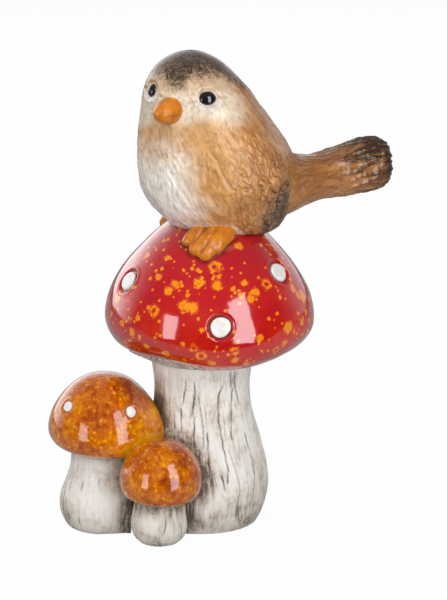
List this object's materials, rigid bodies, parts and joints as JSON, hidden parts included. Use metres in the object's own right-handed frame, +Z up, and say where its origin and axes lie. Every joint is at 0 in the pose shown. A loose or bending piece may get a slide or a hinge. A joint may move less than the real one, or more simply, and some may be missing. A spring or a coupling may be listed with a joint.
{
  "type": "ceramic mushroom ornament",
  "caption": "Free-standing ceramic ornament: a red spotted mushroom on a pale grooved stem, small amber-capped mushrooms at its foot, and a plump little bird perched on the red cap.",
  "frame": {"origin": "middle of the large stem's foot, on the plane that the ornament stands on", "axes": "+Z up, -Y towards the ornament's front, +X to the right as seen from the front"},
  "size_m": [0.1259, 0.0834, 0.1753],
  "materials": {
    "stem_wash": "white slip with a brown-grey wash in carved grooves, satin",
    "gill_wash": "white slip with dark strokes between the gills, satin",
    "red_glaze": "crimson gloss glaze with yellow-orange flecks",
    "amber_glaze": "mottled amber-brown gloss glaze",
    "white_dot": "white, semi-gloss",
    "bird_paint": "hand-painted cream, tan and charcoal under a satin varnish",
    "wing_paint": "hand-painted golden brown with dark strokes, satin varnish",
    "tail_paint": "hand-painted brown with dark streaks, satin varnish",
    "orange_paint": "orange paint, satin varnish",
    "black_gloss": "black gloss"
  },
  "bodies": {
    "root": {"main_stem": "stem_wash", "main_gills": "gill_wash", "main_cap": "red_glaze", "main_cap_dots": "white_dot", "left_stem": "stem_wash", "left_gills": "gill_wash", "left_cap": "amber_glaze", "left_cap_dots": "white_dot", "front_stem": "stem_wash", "front_gills": "gill_wash", "front_cap": "amber_glaze", "bird_body": "bird_paint", "bird_tail": "tail_paint", "left_wing": "wing_paint", "right_wing": "wing_paint", "beak": "orange_paint", "left_eye": "black_gloss", "right_eye": "black_gloss", "left_foot": "orange_paint", "right_foot": "orange_paint"}
  },
  "joints": []
}
